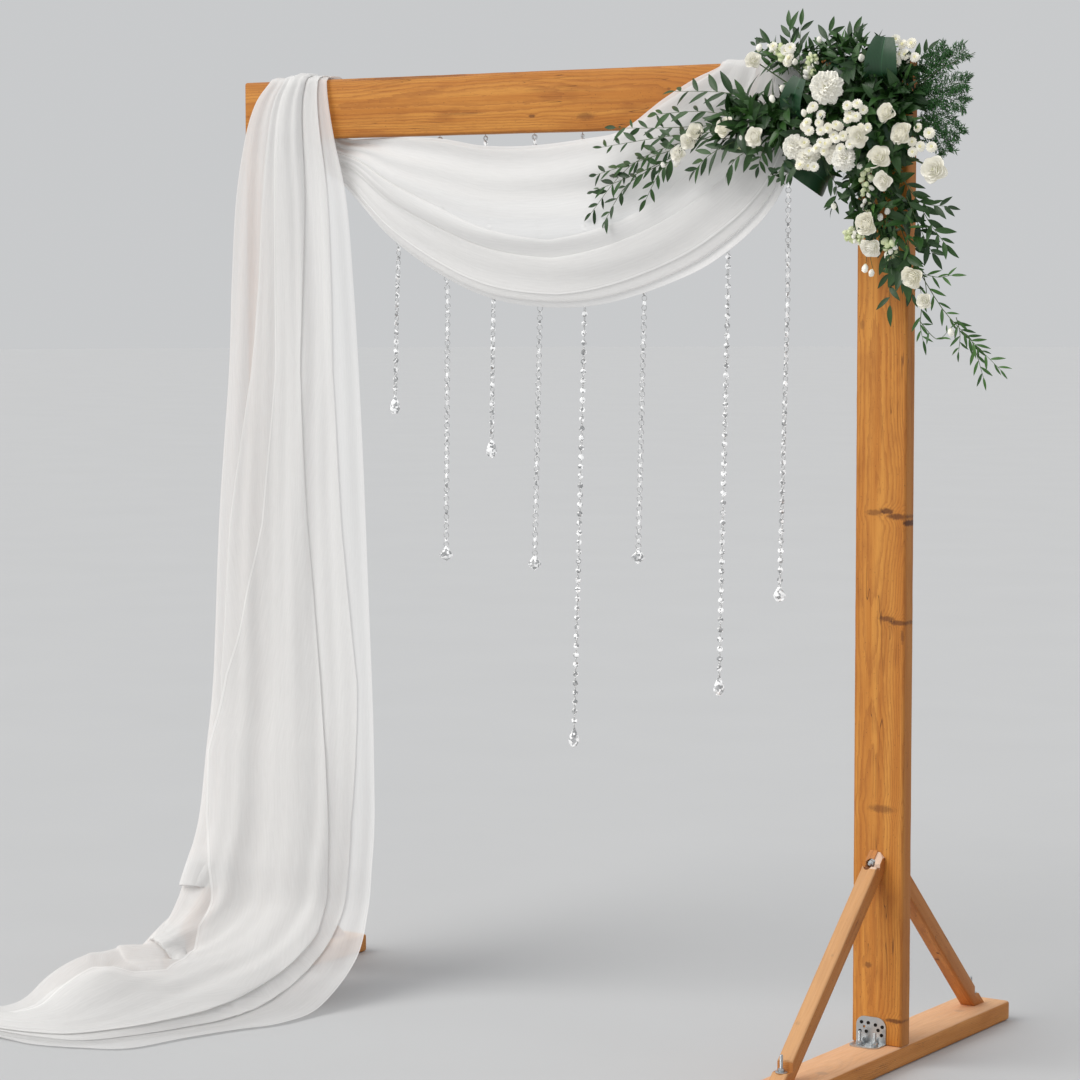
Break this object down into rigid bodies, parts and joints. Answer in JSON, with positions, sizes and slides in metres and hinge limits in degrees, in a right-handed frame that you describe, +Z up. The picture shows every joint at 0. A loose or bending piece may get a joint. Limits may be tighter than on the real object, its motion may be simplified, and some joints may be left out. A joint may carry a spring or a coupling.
{
  "type": "draped wooden wedding arch",
  "caption": "Free-standing plank arch on braced plank feet, with a draped sheer cloth, hanging crystal strands and a corner flower arrangement.",
  "frame": {"origin": "middle of the base of the bounding box, on the ground; the arch's own middle is 34 mm along +X and 219 mm along +Y from it", "axes": "+X along the beam from the draped post to the flowered post, +Y from the draped front to the back, +Z up"},
  "size_m": [2.531, 1.5478, 2.437],
  "materials": {
    "stained_pine": "honey-brown stain, satin, knots and open grain, worn edges",
    "pale_stained_pine": "thin stain, satin, raw saw cuts at the ends",
    "galvanised_steel": "zinc plated, dull bright",
    "sheer_cloth": "white sheer chiffon in folds",
    "cut_crystal": "clear faceted beads on bright wire rings",
    "leaves": "dark green leaves, satin",
    "petals": "cream-white petals, soft",
    "flower_foam_green": "green flower foam in a wrap of net"
  },
  "bodies": {
    "root": {"top_beam": "stained_pine", "left_post": "stained_pine", "left_foot": "stained_pine", "right_post": "stained_pine", "right_foot": "stained_pine", "left_front_brace": "pale_stained_pine", "left_front_brace_foot_bolt": "galvanised_steel", "left_front_brace_top_bolt": "galvanised_steel", "left_front_foot_bracket": "galvanised_steel", "left_back_brace": "pale_stained_pine", "left_back_brace_foot_bolt": "galvanised_steel", "left_back_brace_top_bolt": "galvanised_steel", "left_back_foot_bracket": "galvanised_steel", "left_corner_bracket": "galvanised_steel", "right_front_brace": "pale_stained_pine", "right_front_brace_foot_bolt": "galvanised_steel", "right_front_brace_top_bolt": "galvanised_steel", "right_front_foot_bracket": "galvanised_steel", "right_back_brace": "pale_stained_pine", "right_back_brace_foot_bolt": "galvanised_steel", "right_back_brace_top_bolt": "galvanised_steel", "right_back_foot_bracket": "galvanised_steel", "right_corner_bracket": "galvanised_steel", "drape_fall": "sheer_cloth", "drape_swag": "sheer_cloth", "drape_train": "sheer_cloth", "crystal_strand_1": "cut_crystal", "crystal_strand_2": "cut_crystal", "crystal_strand_3": "cut_crystal", "crystal_strand_4": "cut_crystal", "crystal_strand_5": "cut_crystal", "crystal_strand_6": "cut_crystal", "crystal_strand_7": "cut_crystal", "crystal_strand_8": "cut_crystal", "flower_foam": "flower_foam_green", "foliage_mass": "leaves", "top_leaves": "leaves", "fern_spray": "leaves", "left_spray": "leaves", "post_spray": "leaves", "trailing_vine": "leaves", "white_carnation": "petals", "white_roses": "petals"}
  },
  "joints": []
}
